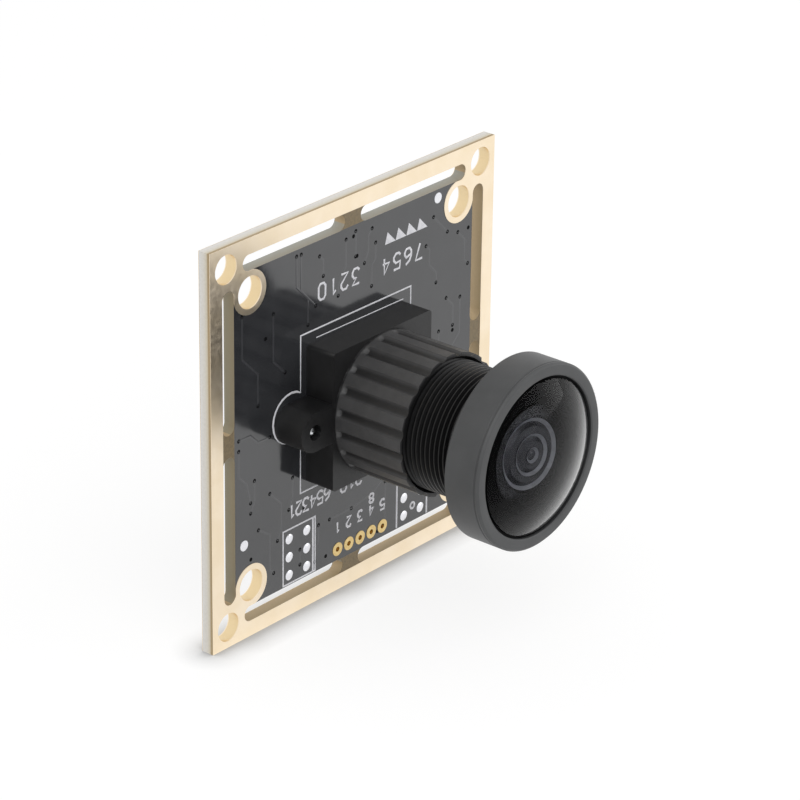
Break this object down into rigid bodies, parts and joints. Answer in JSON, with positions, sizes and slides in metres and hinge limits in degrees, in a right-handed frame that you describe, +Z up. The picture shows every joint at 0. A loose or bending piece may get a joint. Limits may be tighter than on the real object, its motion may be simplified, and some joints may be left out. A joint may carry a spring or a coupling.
{
  "type": "camera module",
  "caption": "Square black circuit board with a gold break-away frame, a ribbed screw-on lens holder and a wide-angle lens that turns in its thread to focus.",
  "frame": {"origin": "on the lens axis where it meets the front face of the board, which is also the centre of the four corner holes", "axes": "+Z up along the board, +X right as seen from in front of the lens, the lens looks along -Y"},
  "size_m": [0.038, 0.0272, 0.038],
  "materials": {
    "board_black": "glossy black solder mask over glass laminate",
    "gold": "pale gold plating, satin",
    "tin": "bright tinned metal",
    "black_plastic": "moulded black plastic, slight sheen",
    "steel": "plain steel",
    "clear_glass": "clear polished glass",
    "coated_glass": "dark coated glass, polished",
    "chip_black": "moulded black chip body",
    "silicon": "polished silicon",
    "black_metal": "satin black anodised metal",
    "ceramic_tan": "tan ceramic",
    "white_plastic": "off-white moulded plastic"
  },
  "bodies": {
    "root": {"circuit_board": "board_black", "frame_plating": "gold", "test_pads": "gold", "header_pads": "tin", "fiducial_pads": "tin", "lens_holder": "black_plastic", "holder_screws": "steel", "ir_filter": "clear_glass", "sensor_body": "chip_black", "sensor_die": "silicon", "sensor_glass": "clear_glass", "controller_chip": "chip_black", "controller_leads": "tin", "memory_chip": "chip_black", "memory_leads": "tin", "crystal_can": "steel", "regulator_bodies": "chip_black", "regulator_leads": "tin", "power_inductor": "chip_black", "capacitor_bodies": "ceramic_tan", "capacitor_ends": "tin", "resistor_bodies": "chip_black", "resistor_ends": "tin", "socket_housing": "white_plastic", "socket_pins": "tin"},
    "lens_carry": {"rear_glass": "clear_glass"},
    "lens": {"lens_barrel": "black_metal", "front_ring": "black_metal", "front_glass": "coated_glass", "second_glass": "coated_glass", "third_glass": "clear_glass", "fourth_glass": "clear_glass", "spacer_ring_front": "black_metal", "spacer_ring_middle": "black_metal", "aperture_stop": "black_metal", "spacer_ring_rear": "black_metal", "rear_retainer": "black_metal"}
  },
  "joints": [
    {"name": "focus_travel", "type": "slide", "parent": "root", "child": "lens_carry", "axis": [0, -1, 0], "range_m": [-0.00101, 0.00101]},
    {"name": "focus_turn", "type": "hinge", "parent": "lens_carry", "child": "lens", "pos_m": [0, 0, 0], "axis": [0, -1, 0], "range_deg": [-720, 720]}
  ],
  "couplings": [
    {"joint": "focus_travel", "follows": "focus_turn", "m_per_rad": 0.000079577}
  ]
}
